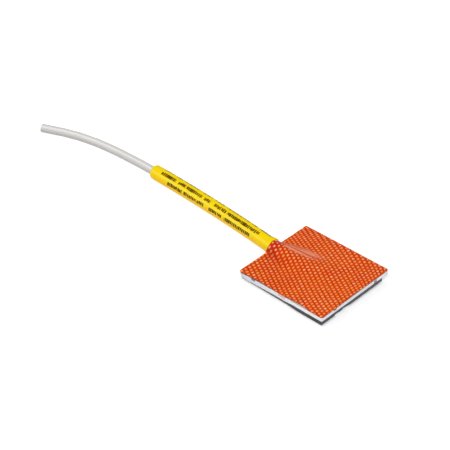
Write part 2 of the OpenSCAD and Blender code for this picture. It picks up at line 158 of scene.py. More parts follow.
# The cores that the cut shows: the slot and the two colours of each one's insulation
CORE_RING = 0.46
CORE_R = 0.39
CORE_BORE_R = 0.25
STRAND_R = 0.074
STRAND_RING = 0.155
CORES = [
    ("white_core", (0.93, 0.93, 0.91), (0.88, 0.88, 0.86)),
    ("red_core", (0.8, 0.1, 0.08), (0.72, 0.08, 0.07)),
    ("red_core", (0.8, 0.1, 0.08), (0.72, 0.08, 0.07)),
]
TINNED = ((0.8, 0.78, 0.74), (0.72, 0.7, 0.66))

# The view: a pinhole camera fitted to the photograph, with its angles in degrees
PICTURE_PX = 450
FOCAL_PX = 1757
SHIFT_PX = (-0.5, -0.35)
VIEW_AZIMUTH = 39.49
VIEW_ELEVATION = 36.22
VIEW_ROLL = 2.87
VIEW_DISTANCE = 436
LOOK_AT = (-29.2, 1.5, 0)
SENSOR_WIDTH = 36

# The sleeve's arc has its own axes: out along it, to its side and above it. It slopes down
# from the hood until the sleeve's end rests on the floor.
BEND_R = SLEEVE_LENGTH / SLEEVE_BEND
REACH = BEND_R * math.sin(SLEEVE_BEND)
SLEEVE_DROP = math.asin(MOUTH[2] / math.hypot(REACH, SLEEVE_R)) - math.atan(SLEEVE_R / REACH)
HEADING = math.pi - SLEEVE_YAW
OUT = np.array([
    math.cos(HEADING) * math.cos(SLEEVE_DROP),
    math.sin(HEADING) * math.cos(SLEEVE_DROP),
    -math.sin(SLEEVE_DROP),
])
ASIDE = np.array([-math.sin(HEADING), math.cos(HEADING), 0])
ABOVE = np.cross(OUT, ASIDE)


def lead_point(s, side=0.0, height=0.0):
    """Points of the lead, s along its arc from the patch's edge."""
    s, side, height = np.broadcast_arrays(*(np.asarray(v, float)[..., None] for v in (s, side, height)))
    turn = s / BEND_R
    return (
        MOUTH
        + OUT * (BEND_R - side) * np.sin(turn)
        + ASIDE * (BEND_R - (BEND_R - side) * np.cos(turn))
        + ABOVE * height
    )


def towards(azimuth, elevation):
    """Direction away from the part, in degrees. Azimuth 0 is the patch's near side."""
    a, e = math.radians(azimuth), math.radians(elevation)
    return Vector((math.sin(a) * math.cos(e), -math.cos(a) * math.cos(e), math.sin(e)))


def aim_camera():
    back = towards(VIEW_AZIMUTH, VIEW_ELEVATION)
    right = towards(VIEW_AZIMUTH + 90, 0)
    up = back.cross(right)
    roll = math.radians(VIEW_ROLL)
    turned_right = right * math.cos(roll) + up * math.sin(roll)
    turned_up = up * math.cos(roll) - right * math.sin(roll)
    lens = bpy.data.cameras.new("view")
    lens.sensor_width = SENSOR_WIDTH
    lens.lens = FOCAL_PX / PICTURE_PX * SENSOR_WIDTH
    lens.shift_x, lens.shift_y = (shift / PICTURE_PX for shift in SHIFT_PX)
    lens.clip_start = 0.01
    lens.clip_end = 20
    camera = bpy.data.objects.new("view", lens)
    place = Matrix((turned_right, turned_up, back)).transposed().to_4x4()
    place.translation = Vector(LOOK_AT) * MM + back * VIEW_DISTANCE * MM
    camera.matrix_world = place
    bpy.context.scene.collection.objects.link(camera)
    bpy.context.scene.camera = camera


aim_camera()


# Materials

class Signal:
    """What comes out of a node. Arithmetic on a number adds Math nodes."""

    def __init__(self, finish, socket):
        self.finish = finish
        self.socket = socket

    def _math(self, operation, first, second=None):
        values = {0: first} if second is None else {0: first, 1: second}
        return self.finish.node("ShaderNodeMath", {"operation": operation}, values)

    def __add__(self, other):
        return self._math("ADD", self, other)

    __radd__ = __add__

    def __mul__(self, other):
        return self._math("MULTIPLY", self, other)

    __rmul__ = __mul__

    def __sub__(self, other):
        return self._math("SUBTRACT", self, other)

    def __rsub__(self, other):
        return self._math("SUBTRACT", other, self)

    def __truediv__(self, other):
        return self._math("DIVIDE", self, other)

    def __rtruediv__(self, other):
        return self._math("DIVIDE", other, self)

    def __pow__(self, other):
        return self._math("POWER", self, other)

    def __neg__(self):
        return self * -1

    def __abs__(self):
        return self._math("ABSOLUTE", self)

    def floor(self):
        return self._math("FLOOR", self)

    def fract(self):
        return self._math("FRACT", self)

    def cosine(self):
        return self._math("COSINE", self)

    def above(self, other):
        return self._math("GREATER_THAN", self, other)

    def highest(self, other):
        return self._math("MAXIMUM", self, other)

    def lowest(self, other):
        return self._math("MINIMUM", self, other)

    def step(self, start, end, low=0.0, high=1.0):
        """Smooth step from low to high, as the number goes from start to end."""
        settings = {"interpolation_type": "SMOOTHSTEP"}
        values = {"Value": self, "From Min": start, "From Max": end, "To Min": low, "To Max": high}
        return self.finish.node("ShaderNodeMapRange", settings, values)


class Finish:
    """The nodes of one material, or of the world, built round a single surface."""

    def __init__(self, name, world=False):
        self.owner = (bpy.data.worlds if world else bpy.data.materials).new(name)
        self.owner.use_nodes = True
        self.tree = self.owner.node_tree
        self.tree.nodes.clear()
        kind = "ShaderNodeOutputWorld" if world else "ShaderNodeOutputMaterial"
        self.output = self.tree.nodes.new(kind)

    def feed(self, socket, value):
        """Links a signal to a socket, or sets the socket's own number or colour."""
        if isinstance(value, Signal):
            self.tree.links.new(value.socket, socket)
        elif isinstance(value, tuple):
            socket.default_value = (*value, 1)
        else:
            socket.default_value = value

    def node(self, kind, settings=None, values=None, out=0):
        """Adds a node with its settings, and then what goes into its sockets."""
        made = self.tree.nodes.new(kind)
        for key, setting in (settings or {}).items():
            setattr(made, key, setting)
        for key, value in (values or {}).items():
            self.feed(made.inputs[key], value)
        return Signal(self, made.outputs[out])

    def measure(self, name):
        """A number that the mesh carries at its points."""
        return self.node("ShaderNodeAttribute", {"attribute_name": name}, out="Fac")

    def place(self):
        return self.node("ShaderNodeTexCoord", out="Object")

    def join(self, x, y, z=0.0):
        return self.node("ShaderNodeCombineXYZ", values={"X": x, "Y": y, "Z": z})

    def noise(self, vector, scale, detail=2.0, rough=0.5):
        values = {"Vector": vector, "Scale": scale, "Detail": detail, "Roughness": rough}
        return self.node("ShaderNodeTexNoise", values=values)

    def chance(self, x, y, z=0.0):
        """A number from 0 to 1 that stays the same over one cell."""
        values = {"Vector": self.join(x, y, z)}
        return self.node("ShaderNodeTexWhiteNoise", {"noise_dimensions": "3D"}, values)

    def blend(self, share, first, second):
        """Colour between two colours."""
        values = {"Factor": share, 6: first, 7: second}
        return self.node("ShaderNodeMix", {"data_type": "RGBA"}, values, out=2)

    def bump(self, height, strength, distance_mm):
        values = {"Height": height, "Strength": strength, "Distance": distance_mm * MM}
        return self.node("ShaderNodeBump", values=values)

    def shown(self):
        """1 for rays that show what they meet: straight to the eye, in a gloss, or
        through glass."""
        kinds = ("Is Camera Ray", "Is Glossy Ray", "Is Transmission Ray")
        straight, glossy, clear = (self.node("ShaderNodeLightPath", out=kind) for kind in kinds)
        return (straight + glossy + clear).lowest(1.0)

    def surface(self, shader):
        """Ends the nodes in a shader, and gives the material or world that they make."""
        self.tree.links.new(shader.socket, self.output.inputs["Surface"])
        return self.owner

    def shade(self, **values):
        """Ends the nodes in the usual shader. Underscores in names stand for spaces."""
        spaced = {key.replace("_", " "): value for key, value in values.items()}
        return self.surface(self.node("ShaderNodeBsdfPrincipled", values=spaced))


def tint(red, green, blue):
    """A colour as the eye names it, from 0 to 1, in the shader's linear light."""
    return tuple(v / 12.92 if v <= 0.04045 else ((v + 0.055) / 1.055) ** 2.4 for v in (red, green, blue))


def woven_silicone():
    """Orange silicone over glass cloth, whose crossings show as pale, frayed dots."""
    f = Finish("woven_silicone")
    place = f.place()
    grit = f.noise(place, 2600.0, 2.0, 0.6)
    frayed = grit * 0.5 - 0.25
    near_lip = f.measure("near_lip")

    # The dots lie in diagonal rows, in steps along each row.
    u = f.measure("thread_u") - 0.5
    v = f.measure("thread_v") - 0.5
    row = (u + v) / 2
    step = (u - v) / 2
    near_row = (row + 0.5).floor()
    near_step = (step + 0.5).floor()
    off_row = row - near_row
    off_step = step - near_step
    breadth = f.chance(near_row, near_step)
    length = f.chance(near_step, near_row, 5.0)
    wear = f.chance(near_row, near_step, 9.0)
    shrunk = 1.0 - near_lip * 0.2
    wide = (breadth * 0.08 + 0.29) * shrunk
    long = (length * 0.16 + 0.6) * shrunk
    across = off_row + off_step
    along = off_row - off_step
    dot = ((across / wide) ** 2 + (along / long) ** 2 + frayed).step(1.2, 0.1)

    # The silicone between the dots, with painted shade darkening the grooves between the rows
    drift = f.noise(place, 150.0, 3.0, 0.6)
    patchy = f.noise(place, 700.0, 2.0, 0.6).step(0.3, 0.7, 0.3, 1.0)
    groove = (abs(off_row) + frayed * 0.1).step(0.26, 0.48)
    ground = f.blend(drift.step(0.35, 0.65), tint(0.88, 0.26, 0.0), tint(0.91, 0.32, 0.0))
    ground = f.blend(groove * patchy * 0.95, ground, tint(0.72, 0.16, 0.0))
    # Near the hood's lip the ground is painted darker as shade.
    ground = f.blend(near_lip * 0.75, ground, tint(0.77, 0.16, 0.01))
    pale = f.blend(breadth, tint(1.0, 0.68, 0.36), tint(1.0, 0.69, 0.48))
    pale = f.blend(wear.step(0.88, 1.0, 0.0, 0.28), pale, tint(1.0, 0.82, 0.66))
    # Near the lip the dots are painted paler as glints.
    pale = f.blend(near_lip * 0.7, pale, tint(1.0, 0.8, 0.68))
    colour = f.blend((wear * 0.35 + 0.68) * dot, ground, pale)

    # On the hood's far slope, pale streaks along the threads are a painted sheen.
    strand = f.noise(f.join(u * 0.07, v * 0.75), 1.0, 1.0, 0.5)
    far_slope_sheen = f.blend(strand.step(0.4, 0.6), tint(0.84, 0.34, 0.17), tint(0.99, 0.64, 0.51))
    ragged = f.noise(f.join(u * 0.3, v), 1.0, 1.0) * 0.06 - 0.03
    slope = f.measure("far_fall") * f.measure("past_lip") + ragged
    colour = f.blend(slope.step(0.1, 0.26, 0.0, 0.85), colour, far_slope_sheen)

    # The cut rim is smudged, and the hood's near foot lies in its own shade.
    smudge = f.noise(place, 320.0, 2.0).step(0.36, 0.6, 0.25, 1.0)
    colour = f.blend(f.measure("rim_depth").step(0.0, 0.4) * smudge, colour, tint(0.26, 0.1, 0.04))
    colour = f.blend(f.measure("foot") * 0.5, colour, tint(0.66, 0.13, 0.0))
    return f.shade(
        Base_Color=colour,
        Roughness=grit.step(0.3, 0.7, 0.34, 0.5),
        Specular_IOR_Level=0.05,
        Normal=f.bump(grit * 0.35 + dot * 0.65, 0.3, 0.03),
    )


# Stains on the pad's near and right edges: where each starts and ends along the edge, its
# lowest and highest point, its colour and how strongly it shows
PAD_STAINS = [
    ("near", -12.2, -3.0, 1.9, 2.2, (0.4, 0.24, 0.16), 0.85),
    ("near", -3.0, 12.4, 1.97, 2.2, (0.5, 0.3, 0.22), 0.65),
    ("right", -12.4, 12.4, 2.02, 2.2, (0.45, 0.27, 0.18), 0.75),
    ("near", -9.0, -7.9, 1.4, 2.2, (0.44, 0.27, 0.19), 0.85),
    ("near", -0.8, 1.5, 1.3, 2.2, (0.93, 0.66, 0.58), 0.7),
    ("right", -8.3, -7.2, 1.6, 2.2, (0.42, 0.24, 0.13), 0.9),
    ("right", 7.2, 8.3, 1.1, 1.9, (0.46, 0.33, 0.24), 0.85),
    ("right", 12.0, 12.6, 1.15, 1.5, (0.5, 0.5, 0.5), 0.6),
]


def white_silicone():
    """White silicone, greyer towards the left, with small stains on its cut edges."""
    f = Finish("white_silicone")
    place = f.place()
    cells = f.noise(place, 3200.0, 3.0, 0.6)
    cloud = f.noise(place, 260.0, 2.0)
    ragged = f.noise(place, 900.0, 3.0, 0.7) - 0.5
    x, y, z = (f.measure(name) for name in ("side_x", "side_y", "side_z"))
    colour = f.blend(cloud.step(0.35, 0.7), tint(0.985, 0.985, 0.99), tint(0.95, 0.955, 0.97))
    colour = f.blend(x.step(3.0, -12.0, 0.0, 0.85), colour, tint(0.87, 0.875, 0.915))
    for edge, start, end, low, high, stain, share in PAD_STAINS:
        run, side = (x, -y) if edge == "near" else (y, x)
        along = run + ragged * 0.5
        level = z + ragged * 0.2
        inside = along.step(start - 0.1, start + 0.1) * along.step(end + 0.1, end - 0.1)
        inside = inside * level.step(low - 0.05, low + 0.05) * level.step(high + 0.05, high - 0.05)
        colour = f.blend(inside * side.above(HALF - 0.5) * share, colour, tint(*stain))
    return f.shade(
        Base_Color=colour,
        Roughness=cells.step(0.3, 0.7, 0.55, 0.75),
        Normal=f.bump(cells, 0.3, 0.05),
    )


def dark_rubber():
    """Dark rubber, paler towards the left and scuffed along its right flank."""
    f = Finish("dark_rubber")
    place = f.place()
    cells = f.noise(place, 2400.0, 4.0, 0.65)
    cloud = f.noise(place, 320.0, 2.0)
    x, y = f.measure("side_x"), f.measure("side_y")
    colour = f.blend(cloud.step(0.35, 0.7), tint(0.2, 0.2, 0.21), tint(0.26, 0.265, 0.28))
    colour = f.blend(x.step(9.0, 3.0) * 0.7, colour, tint(0.31, 0.31, 0.32))
    flank = f.blend(y.step(-4.6, -3.2), tint(0.26, 0.275, 0.31), tint(0.315, 0.325, 0.35))
    colour = f.blend(x.above(HALF - 0.4), colour, flank)
    return f.shade(
        Base_Color=colour,
        Roughness=cells.step(0.3, 0.7, 0.5, 0.8),
        Normal=f.bump(cells, 0.6, 0.08),
    )


# Rows of tick marks on the sleeve: angle from its top in degrees, pitch of the marks, how
# strongly they show, and where each group starts and ends, from the sleeve's free end
TICK_HEIGHT = 0.95
TICK_ROWS = [
    (-23.0, 1.3, 0.6, [
        (2.9, 6.2), (7.4, 9.4), (10.1, 15.8), (17.0, 20.2),
        (21.2, 24.5), (25.4, 33.6), (34.4, 36.4), (37.6, 42.0),
    ]),
    (26.0, 0.6, 1.0, [
        (3.1, 8.3), (9.3, 11.8), (12.2, 17.8), (18.6, 20.8),
        (22.3, 24.6), (24.9, 26.6), (27.0, 38.4),
    ]),
    (75.9, 0.6, 1.0, [
        (6.2, 9.7), (9.9, 11.4), (12.1, 16.6), (16.9, 19.4),
        (21.3, 24.1), (24.4, 25.9), (26.9, 36.1),
    ]),
]


def tick_marks(f, s, turn):
    """Ink of the tick marks, for a length along the sleeve and one round it."""
    ink = 0.0
    for row, (angle, pitch, share, groups) in enumerate(TICK_ROWS):
        off = turn - math.radians(angle) * SLEEVE_R
        cells = s / pitch
        off_mark = cells.fract() - 0.5
        mark = cells.floor()
        high, low, breadth = (f.chance(mark, float(row), seed) for seed in (1.0, 7.0, 13.0))
        top = high.step(0.0, 0.7, 0.32, 0.5) * TICK_HEIGHT
        bottom = low.step(0.0, 0.7, 0.32, 0.5) * TICK_HEIGHT
        thick = breadth.step(0.1, 0.9, 0.34, 0.5)
        tall = (off + bottom).step(-0.04, 0.04) * (top - off).step(-0.04, 0.04)
        wide = (thick - abs(off_mark)).step(-0.05, 0.05)
        gates = [
            s.above(SLEEVE_LENGTH - end) * (SLEEVE_LENGTH - start - s).above(0.0)
            for start, end in groups
        ]
        ink = (tall * wide * sum(gates) * share).highest(ink)
    return ink


def printed_sleeve():
    """Yellow shrunk tube with tick marks, a painted highlight streak on its near side and painted shade
    below.
    """
    f = Finish("printed_sleeve")
    s = f.measure("lead_s")
    turn = f.measure("lead_turn")
    place = f.place()
    grain = f.noise(place, 1800.0, 2.0)
    cloud = f.noise(place, 90.0, 2.0)
    ink = tick_marks(f, s, turn) * grain.step(0.15, 0.45, 0.85, 1.0)
    plain = f.blend(cloud, tint(1.0, 0.875, 0.0), tint(1.0, 0.86, 0.0))
    # Painted shade on the near side, low down
    plain = f.blend(turn.step(1.4, 4.4) * 0.8, plain, tint(0.99, 0.76, 0.1))
    # A painted highlight streak along the near side
    plain = f.blend(abs(turn - 1.8).step(0.55, 0.1, 0.0, 0.75), plain, tint(1.0, 0.9, 0.27))
    return f.shade(
        Base_Color=f.blend(ink, plain, tint(0.34, 0.25, 0.03)),
        Roughness=grain.step(0.3, 0.7, 0.2, 0.28),
        Specular_IOR_Level=0.06,
        Normal=f.bump(grain, 0.12, 0.03),
    )


def milky_jacket():
    """Milky jacket that lets the twisted cores under it show faintly, with a painted highlight streak and
    painted shade on its lower near flank.
    """
    f = Finish("milky_jacket")
    s = f.measure("lead_s")
    turn = f.measure("lead_turn")
    cloud = f.noise(f.place(), 300.0, 2.0)
    twist = ((s * 0.9 + turn * 0.7) * math.tau).cosine()
    beads = ((s * 1.7 - turn * 0.4) * math.tau).cosine()
    colour = f.blend(cloud, tint(0.868, 0.86, 0.848), tint(0.843, 0.835, 0.823))
    colour = f.blend(twist.step(-1.0, 1.0, 0.0, 0.16), colour, tint(0.79, 0.78, 0.768))
    # Painted shade along the lower near flank, broken up by the beads
    flank = (turn + 1.75).step(0.75, -0.15) * (turn + 3.2).step(-0.3, 0.7)
    colour = f.blend(flank * (0.65 - beads * 0.1), colour, tint(0.705, 0.696, 0.683))
    # A painted highlight streak along the upper near side
    streak = (abs(turn + 0.68) + beads * 0.03).step(0.33, 0.04)
    colour = f.blend(streak * (beads * 0.25 + 0.7), colour, tint(0.985, 0.972, 0.955))
    return f.shade(
        Base_Color=colour,
        Roughness=cloud.step(0.3, 0.7, 0.26, 0.36),
        Specular_IOR_Level=0.3,
        Normal=f.bump(twist + beads * 0.6, 0.15, 0.03),
    )


def speckled(name, first, second, roughness, metallic=0.0):
    """A plain moulded, drawn or fired finish, with fine mottling and relief."""
    f = Finish(name)
    place = f.place()
    grain = 1500.0
    fine = f.noise(place, grain, 3.0)
    broad = f.noise(place, grain / 8, 2.0)
    return f.shade(
        Base_Color=f.blend(broad.step(0.3, 0.7), tint(*first), tint(*second)),
        Roughness=fine.step(0.3, 0.7, roughness - 0.06, roughness + 0.06),
        Metallic=metallic,
        Normal=f.bump(fine, 0.3, 0.02),
    )


# Meshes

def make_piece(name, points_mm, faces, material, measures=None):
    """A smooth piece of the sensor. Its measures are numbers that its material reads."""
    mesh = bpy.data.meshes.new(name)
    mesh.from_pydata((np.asarray(points_mm) * MM).tolist(), [], faces)
    for key, values in (measures or {}).items():
        layer = mesh.attributes.new(key, "FLOAT", "POINT")
        layer.data.foreach_set("value", np.asarray(values, np.float32).ravel())
    mesh.polygons.foreach_set("use_smooth", [True] * len(mesh.polygons))
    mesh.materials.append(material)
    mesh.validate()
    mesh.update()
    piece = bpy.data.objects.new(name, mesh)
    bpy.context.scene.collection.objects.link(piece)
    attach(piece, "root")
    return piece


def loft(name, rings, material, measures=None, closed=False):
    """Skin over rings of points. A closed loft joins its last ring to its first."""
    count, sides = rings.shape[:2]
    faces = []
    for i in range(count if closed else count - 1):
        a, b = i * sides, (i + 1) % count * sides
        for k in range(sides):
            m = (k + 1) % sides
            faces.append((a + k, a + m, b + m, b + k))
    if not closed:
        faces.append(tuple(reversed(range(sides))))
        faces.append(tuple((count - 1) * sides + k for k in range(sides)))
    return make_piece(name, rings.reshape(-1, 3), faces, material, measures)


def hood(x, y):
    """Height of the hood over the flat sheet."""
    k = np.clip((x + HALF) / HOOD_LENGTH, 0, 1)
    root = np.sqrt(k)
    across = y - HOOD_Y - (HOOD_END_Y - HOOD_Y) * k
    far = across > 0
    near_half = HOOD_MOUTH_NEAR + (HOOD_NEAR_HALF - HOOD_MOUTH_NEAR) * k ** HOOD_NEAR_SPREAD
    far_half = HOOD_MOUTH_FAR + (HOOD_FAR_HALF - HOOD_MOUTH_FAR) * k ** HOOD_FAR_SPREAD
    u = np.clip(np.abs(across) / np.where(far, far_half, near_half), 0, 1)
    shoulder = MOUTH_SHOULDER + (np.where(far, FAR_SHOULDER, NEAR_SHOULDER) - MOUTH_SHOULDER) * root
    foot = MOUTH_FOOT + (np.where(far, FAR_FOOT, NEAR_FOOT) - MOUTH_FOOT) * root
    return HOOD_RISE * (1 - k) ** HOOD_FALL * (1 - u ** shoulder) ** foot


def drift(x, y, weights):
    """Value of a polynomial in x and y, up to the fourth power."""
    powers = [(total - n, n) for total in range(5) for n in range(total + 1)]
    return sum(w * (x / 10) ** i * (y / 10) ** j for w, (i, j) in zip(weights, powers))


def threads(x, y):
    """Thread numbers of a place on the sheet, counted across and along it."""
    square = 1 - WARP_SLANT * WEFT_LEAN
    u = (x - WARP_SLANT * y) / square / WARP_PITCH - WEAVE_SHIFT[0]
    v = (y - WEFT_LEAN * x) / square / WEFT_PITCH - WEAVE_SHIFT[1]
    row = (u + v) / 2 + drift(x, y, ROW_DRIFT)
    step = (u - v) / 2 + drift(x, y, STEP_DRIFT)
    return row + step, row - step


def weave(u, v):
    """Height of the threads under their silicone, over the hollows between them."""
    across = u - np.floor(u) - 0.5
    along = v - np.floor(v) - 0.5
    over = np.where((np.floor(u) + np.floor(v)) % 2 == 0, 1.0, -1.0)
    warp_round = np.sqrt(np.clip(1 - (across / WARP_HALF) ** 2, 0, 1))
    weft_round = np.sqrt(np.clip(1 - (along / WEFT_HALF) ** 2, 0, 1))
    warp_wave = THREAD_MEAN + THREAD_SWING * over * np.cos(np.pi * along)
    weft_wave = THREAD_MEAN - THREAD_SWING * over * np.cos(np.pi * across)
    return np.maximum(warp_round * warp_wave * WARP_CROWN, weft_round * weft_wave * WEFT_CROWN)


def round_corner(x, y, reach):
    """Draws a square's corner points in to a round of the given reach."""
    dx, dy = np.abs(x) - (HALF - reach), np.abs(y) - (HALF - reach)
    corner = (dx > 0) & (dy > 0)
    far = np.maximum(np.hypot(dx, dy), 1e-9)
    shrink = np.where(corner, np.maximum(dx, dy) / far, 1.0)
    px = np.where(corner, np.sign(x) * (HALF - reach + dx * shrink), x)
    py = np.where(corner, np.sign(y) * (HALF - reach + dy * shrink), y)
    return px, py


def read_off(pairs, along):
    """Value at places along an edge, from pairs of place and value."""
    places, values = zip(*pairs)
    return np.interp(along, places, values)


def draw_in(side, along, bow):
    """Draws in the edge that lies furthest out to a side, and less so what lies behind it."""
    return side - read_off(bow, along) * np.clip((side - HALF + BOW_REACH) / BOW_REACH, 0, 1)


# The cover's mesh: squares along each side, and how many of them one square of its
# underside spans. Its threads are counted from a number that keeps them all above zero.
COVER_CELLS = 264
UNDER_CELL = 4
FIRST_THREAD = 64


def cover_grid():
    """Places of the cover's mesh, and how far each lies from the nearest edge before the
    edges are drawn in."""
    ticks = np.linspace(-HALF, HALF, COVER_CELLS + 1)
    x, y = np.meshgrid(ticks, ticks, indexing="ij")
    left_near = (x < 0) & (y < 0)
    corner_radius = np.where(left_near, 0.6, 0.35)
    x, y = round_corner(x, y, corner_radius)
    edge = np.minimum(HALF - np.abs(x), HALF - np.abs(y))
    y = -draw_in(-y, x, COVER_NEAR_BOW)
    x = draw_in(x, y, COVER_RIGHT_BOW)
    return x, y, edge


def cover_faces(rim, under_at):
    """Faces of the cover's top, rim and underside. A place is a pair of grid numbers, and
    under_at holds the number of the point below it."""
    wide = COVER_CELLS + 1
    faces = []
    for i in range(COVER_CELLS):
        for j in range(COVER_CELLS):
            a = i * wide + j
            faces.append((a, a + wide, a + wide + 1, a + 1))
    for here, ahead in zip(rim, rim[1:] + rim[:1]):
        above_here, above_ahead = (i * wide + j for i, j in (here, ahead))
        faces.append((under_at[here], under_at[ahead], above_ahead, above_here))
    cell = UNDER_CELL
    for i in range(0, COVER_CELLS, cell):
        for j in range(0, COVER_CELLS, cell):
            loop = [(i, j + t) for t in range(cell)]
            loop += [(i + t, j + cell) for t in range(cell)]
            loop += [(i + cell, j + cell - t) for t in range(cell)]
            loop += [(i + cell - t, j) for t in range(cell)]
            faces.append(tuple(under_at[place] for place in loop if place in under_at))
    return faces


def cover_measures(x, y, rim_depth):
    """What the cover's material reads at each point: its threads, how steeply the hood
    falls to its far side, how far the point is past the hood's lip, how near to the lip
    on the hood, how near to the hood's near foot, and how far down the cut rim."""
    u, v = threads(x, y)
    rise = hood(x, y)
    reach = 0.3
    foot_height = 0.45
    foot = np.exp(-((rise - foot_height) / 0.5) ** 2) * np.clip((-5.0 - x) / 5, 0, 1)
    foot = foot * (y < 0) * np.clip((y + 5.5) / 2, 0, 1)
    return {
        "thread_u": u + FIRST_THREAD,
        "thread_v": v + FIRST_THREAD,
        "far_fall": (hood(x, y - reach) - hood(x, y + reach)) / (2 * reach),
        "past_lip": np.clip((x + 10.9) / 1.6, 0, 1),
        "near_lip": np.clip((-9.2 - x) / 1.8, 0, 1) * np.clip(rise / 0.7, 0, 1),
        "foot": foot,
        "rim_depth": rim_depth,
    }


def make_cover():
    last = COVER_CELLS
    lip_width = 0.12
    lip_drop = 0.05
    x, y, edge = cover_grid()
    top = COVER_TOP - WARP_CROWN + weave(*threads(x, y)) + hood(x, y)
    top -= np.clip(1 - edge / lip_width, 0, 1) ** 2 * lip_drop
    rim = [(i, 0) for i in range(last)] + [(last, j) for j in range(last)]
    rim += [(i, last) for i in range(last, 0, -1)] + [(0, j) for j in range(last, 0, -1)]
    inner = range(UNDER_CELL, last, UNDER_CELL)
    under = rim + [(i, j) for i in inner for j in inner]
    under_x, under_y = (np.array([grid[place] for place in under]) for grid in (x, y))
    under_z = PAD_TOP + COVER_SEAM + hood(under_x, under_y)
    points = np.concatenate([
        np.stack([x, y, top], -1).reshape(-1, 3),
        np.stack([under_x, under_y, under_z], -1),
    ])
    under_at = {place: top.size + n for n, place in enumerate(under)}
    rim_depth = (np.arange(len(points)) >= top.size).astype(float)
    measures = cover_measures(points[:, 0], points[:, 1], rim_depth)
    piece = make_piece("woven_cover", points, cover_faces(rim, under_at), woven_silicone(), measures)
    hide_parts("cover_sheet")


def slab(name, outline, levels, material, wobble, seed):
    """A sheet with the given outline. Each level is a height and how far it is drawn in,
    as one number or one for each point of the outline. The wobble is that of its cut."""
    after = np.roll(outline, -1, 0) - outline
    before = outline - np.roll(outline, 1, 0)
    normal = np.stack([after[:, 1] + before[:, 1], -after[:, 0] - before[:, 0]], -1)
    normal /= np.linalg.norm(normal, axis=1)[:, None]
    rough = np.random.default_rng(seed).normal(0, 1, len(outline))
    for _ in range(2):
        rough = (np.roll(rough, 1) + rough * 2 + np.roll(rough, -1)) / 4
    rings = []
    for height, inset in levels:
        depth = inset + wobble * np.abs(rough)
        ring = outline - normal * depth[:, None]
        rings.append(np.column_stack([ring, np.broadcast_to(height, len(ring))]))
    rings = np.array(rings)
    measures = {f"side_{axis}": rings[..., n] for n, axis in enumerate("xyz")}
    return loft(name, rings, material, measures)


def outline_points(corners):
    """Points along a closed outline. Each corner is x, y and its radius."""
    spacing = 0.25
    sharp = 0.05
    points = []
    count = len(corners)
    for n in range(count):
        before, here, after = (np.array(corners[(n + d) % count][:2], float) for d in (-1, 0, 1))
        radius = corners[n][2]
        to_before = (before - here) / np.linalg.norm(before - here)
        to_after = (after - here) / np.linalg.norm(after - here)
        start, end = here + to_before * radius, here + to_after * radius
        for t in np.linspace(0, 1, 7 if radius > sharp else 2):
            points.append(start * (1 - t) ** 2 + 2 * here * t * (1 - t) + end * t * t)
        stop = after - to_after * corners[(n + 1) % count][2]
        steps = max(int(np.linalg.norm(stop - end) / spacing), 1)
        for t in np.linspace(0, 1, steps + 1)[1:-1]:
            points.append(end + (stop - end) * t)
    return np.array(points)


def slot_corners():
    """The slot in the pad for the sleeve's neck, the lead's end, the wires and the chip.
    It follows the lead's heading, and its pocket for the chip is square to the patch."""
    heading = np.array([math.cos(SLEEVE_YAW), -math.sin(SLEEVE_YAW)])
    aside = np.array([-heading[1], heading[0]])
    start = np.array([-HALF, MOUTH[1]])
    neck, lead, wire = 1.64, 1.25, 0.85
    neck_depth, lead_depth = 1.4, 4.4
    neck_end, lead_end = start + heading * neck_depth, start + heading * lead_depth
    lean = heading * neck * math.tan(SLEEVE_YAW)
    near = [
        start - lean - aside * neck,
        neck_end - aside * neck,
        neck_end - aside * lead,
        lead_end - aside * lead,
    ]
    far = [
        lead_end + aside * lead,
        neck_end + aside * lead,
        neck_end + aside * neck,
        start + lean + aside * neck,
    ]
    near[0][0] = far[-1][0] = -HALF
    left, half = -1.35, 1.2
    pocket = [(left, -wire), (left, -half), (-left, -half), (-left, half), (left, half), (left, wire)]
    return [tuple(p) for p in near] + pocket + [tuple(p) for p in far]


def make_pad():
    body = HALF - 0.03
    square = [(-body, -body, 0.7), (body, -body, 0.3), (body, body, 0.3), (-body, body, 0.3)]
    slot = [(max(x, -body), y, 0.02) for x, y in reversed(slot_corners())]
    outline = outline_points(square + slot)
    x, y = outline[:, 0], outline[:, 1]
    rim_width, rim_fade, corner_width = 0.3, 1.3, 2.5
    near = np.clip((rim_width + rim_fade - body - y) / rim_fade, 0, 1)
    sag = near * read_off(PAD_NEAR_SAG, x)
    shelf = 0.05 + near * read_off(PAD_NEAR_SHELF, x)
    corner = np.clip(1 - np.hypot(x + HALF, y + HALF) / corner_width, 0, 1)
    outline[:, 1] = -draw_in(-y, x, PAD_NEAR_BOW)
    low, high = BASE_TOP + SEAM, PAD_TOP - SEAM

    # From the underside, over the sagging rim, up to the top
    levels = [
        (low, np.maximum(shelf, 0.1) + corner * 0.55),
        (low - sag, 0.07 + corner * 0.75),
        (low - sag + 0.08, 0.02 + corner * 0.5),
        (low - sag * 0.8 + 0.2, corner * 0.2),
        (low + 0.6, 0.03),
        (high - 0.12, 0.0),
        (high, 0.04),
    ]
    piece = slab("silicone_pad", outline, levels, white_silicone(), wobble=0.02, seed=4)
    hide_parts("foam_pad")


def make_base():
    outline = outline_points(BASE_CORNERS)
    x, y = outline[:, 0], outline[:, 1]
    torn = np.where(x > HALF - 0.2, read_off(BASE_RIGHT_BITES, y), 0)
    levels = [(torn, 0.06), (0.08 + torn, 0.02), (0.5, 0.0), (0.9, 0.02), (BASE_TOP - SEAM, 0.06)]
    piece = slab("rubber_base", outline, levels, dark_rubber(), wobble=0.06, seed=9)
    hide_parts("base_sheet")


def ring_turns(sides):
    """Angles round a ring from its top, and the same angles counted from -pi to pi."""
    turn = np.linspace(0, math.tau, sides, endpoint=False)
    return turn, np.where(turn > math.pi, turn - math.tau, turn)


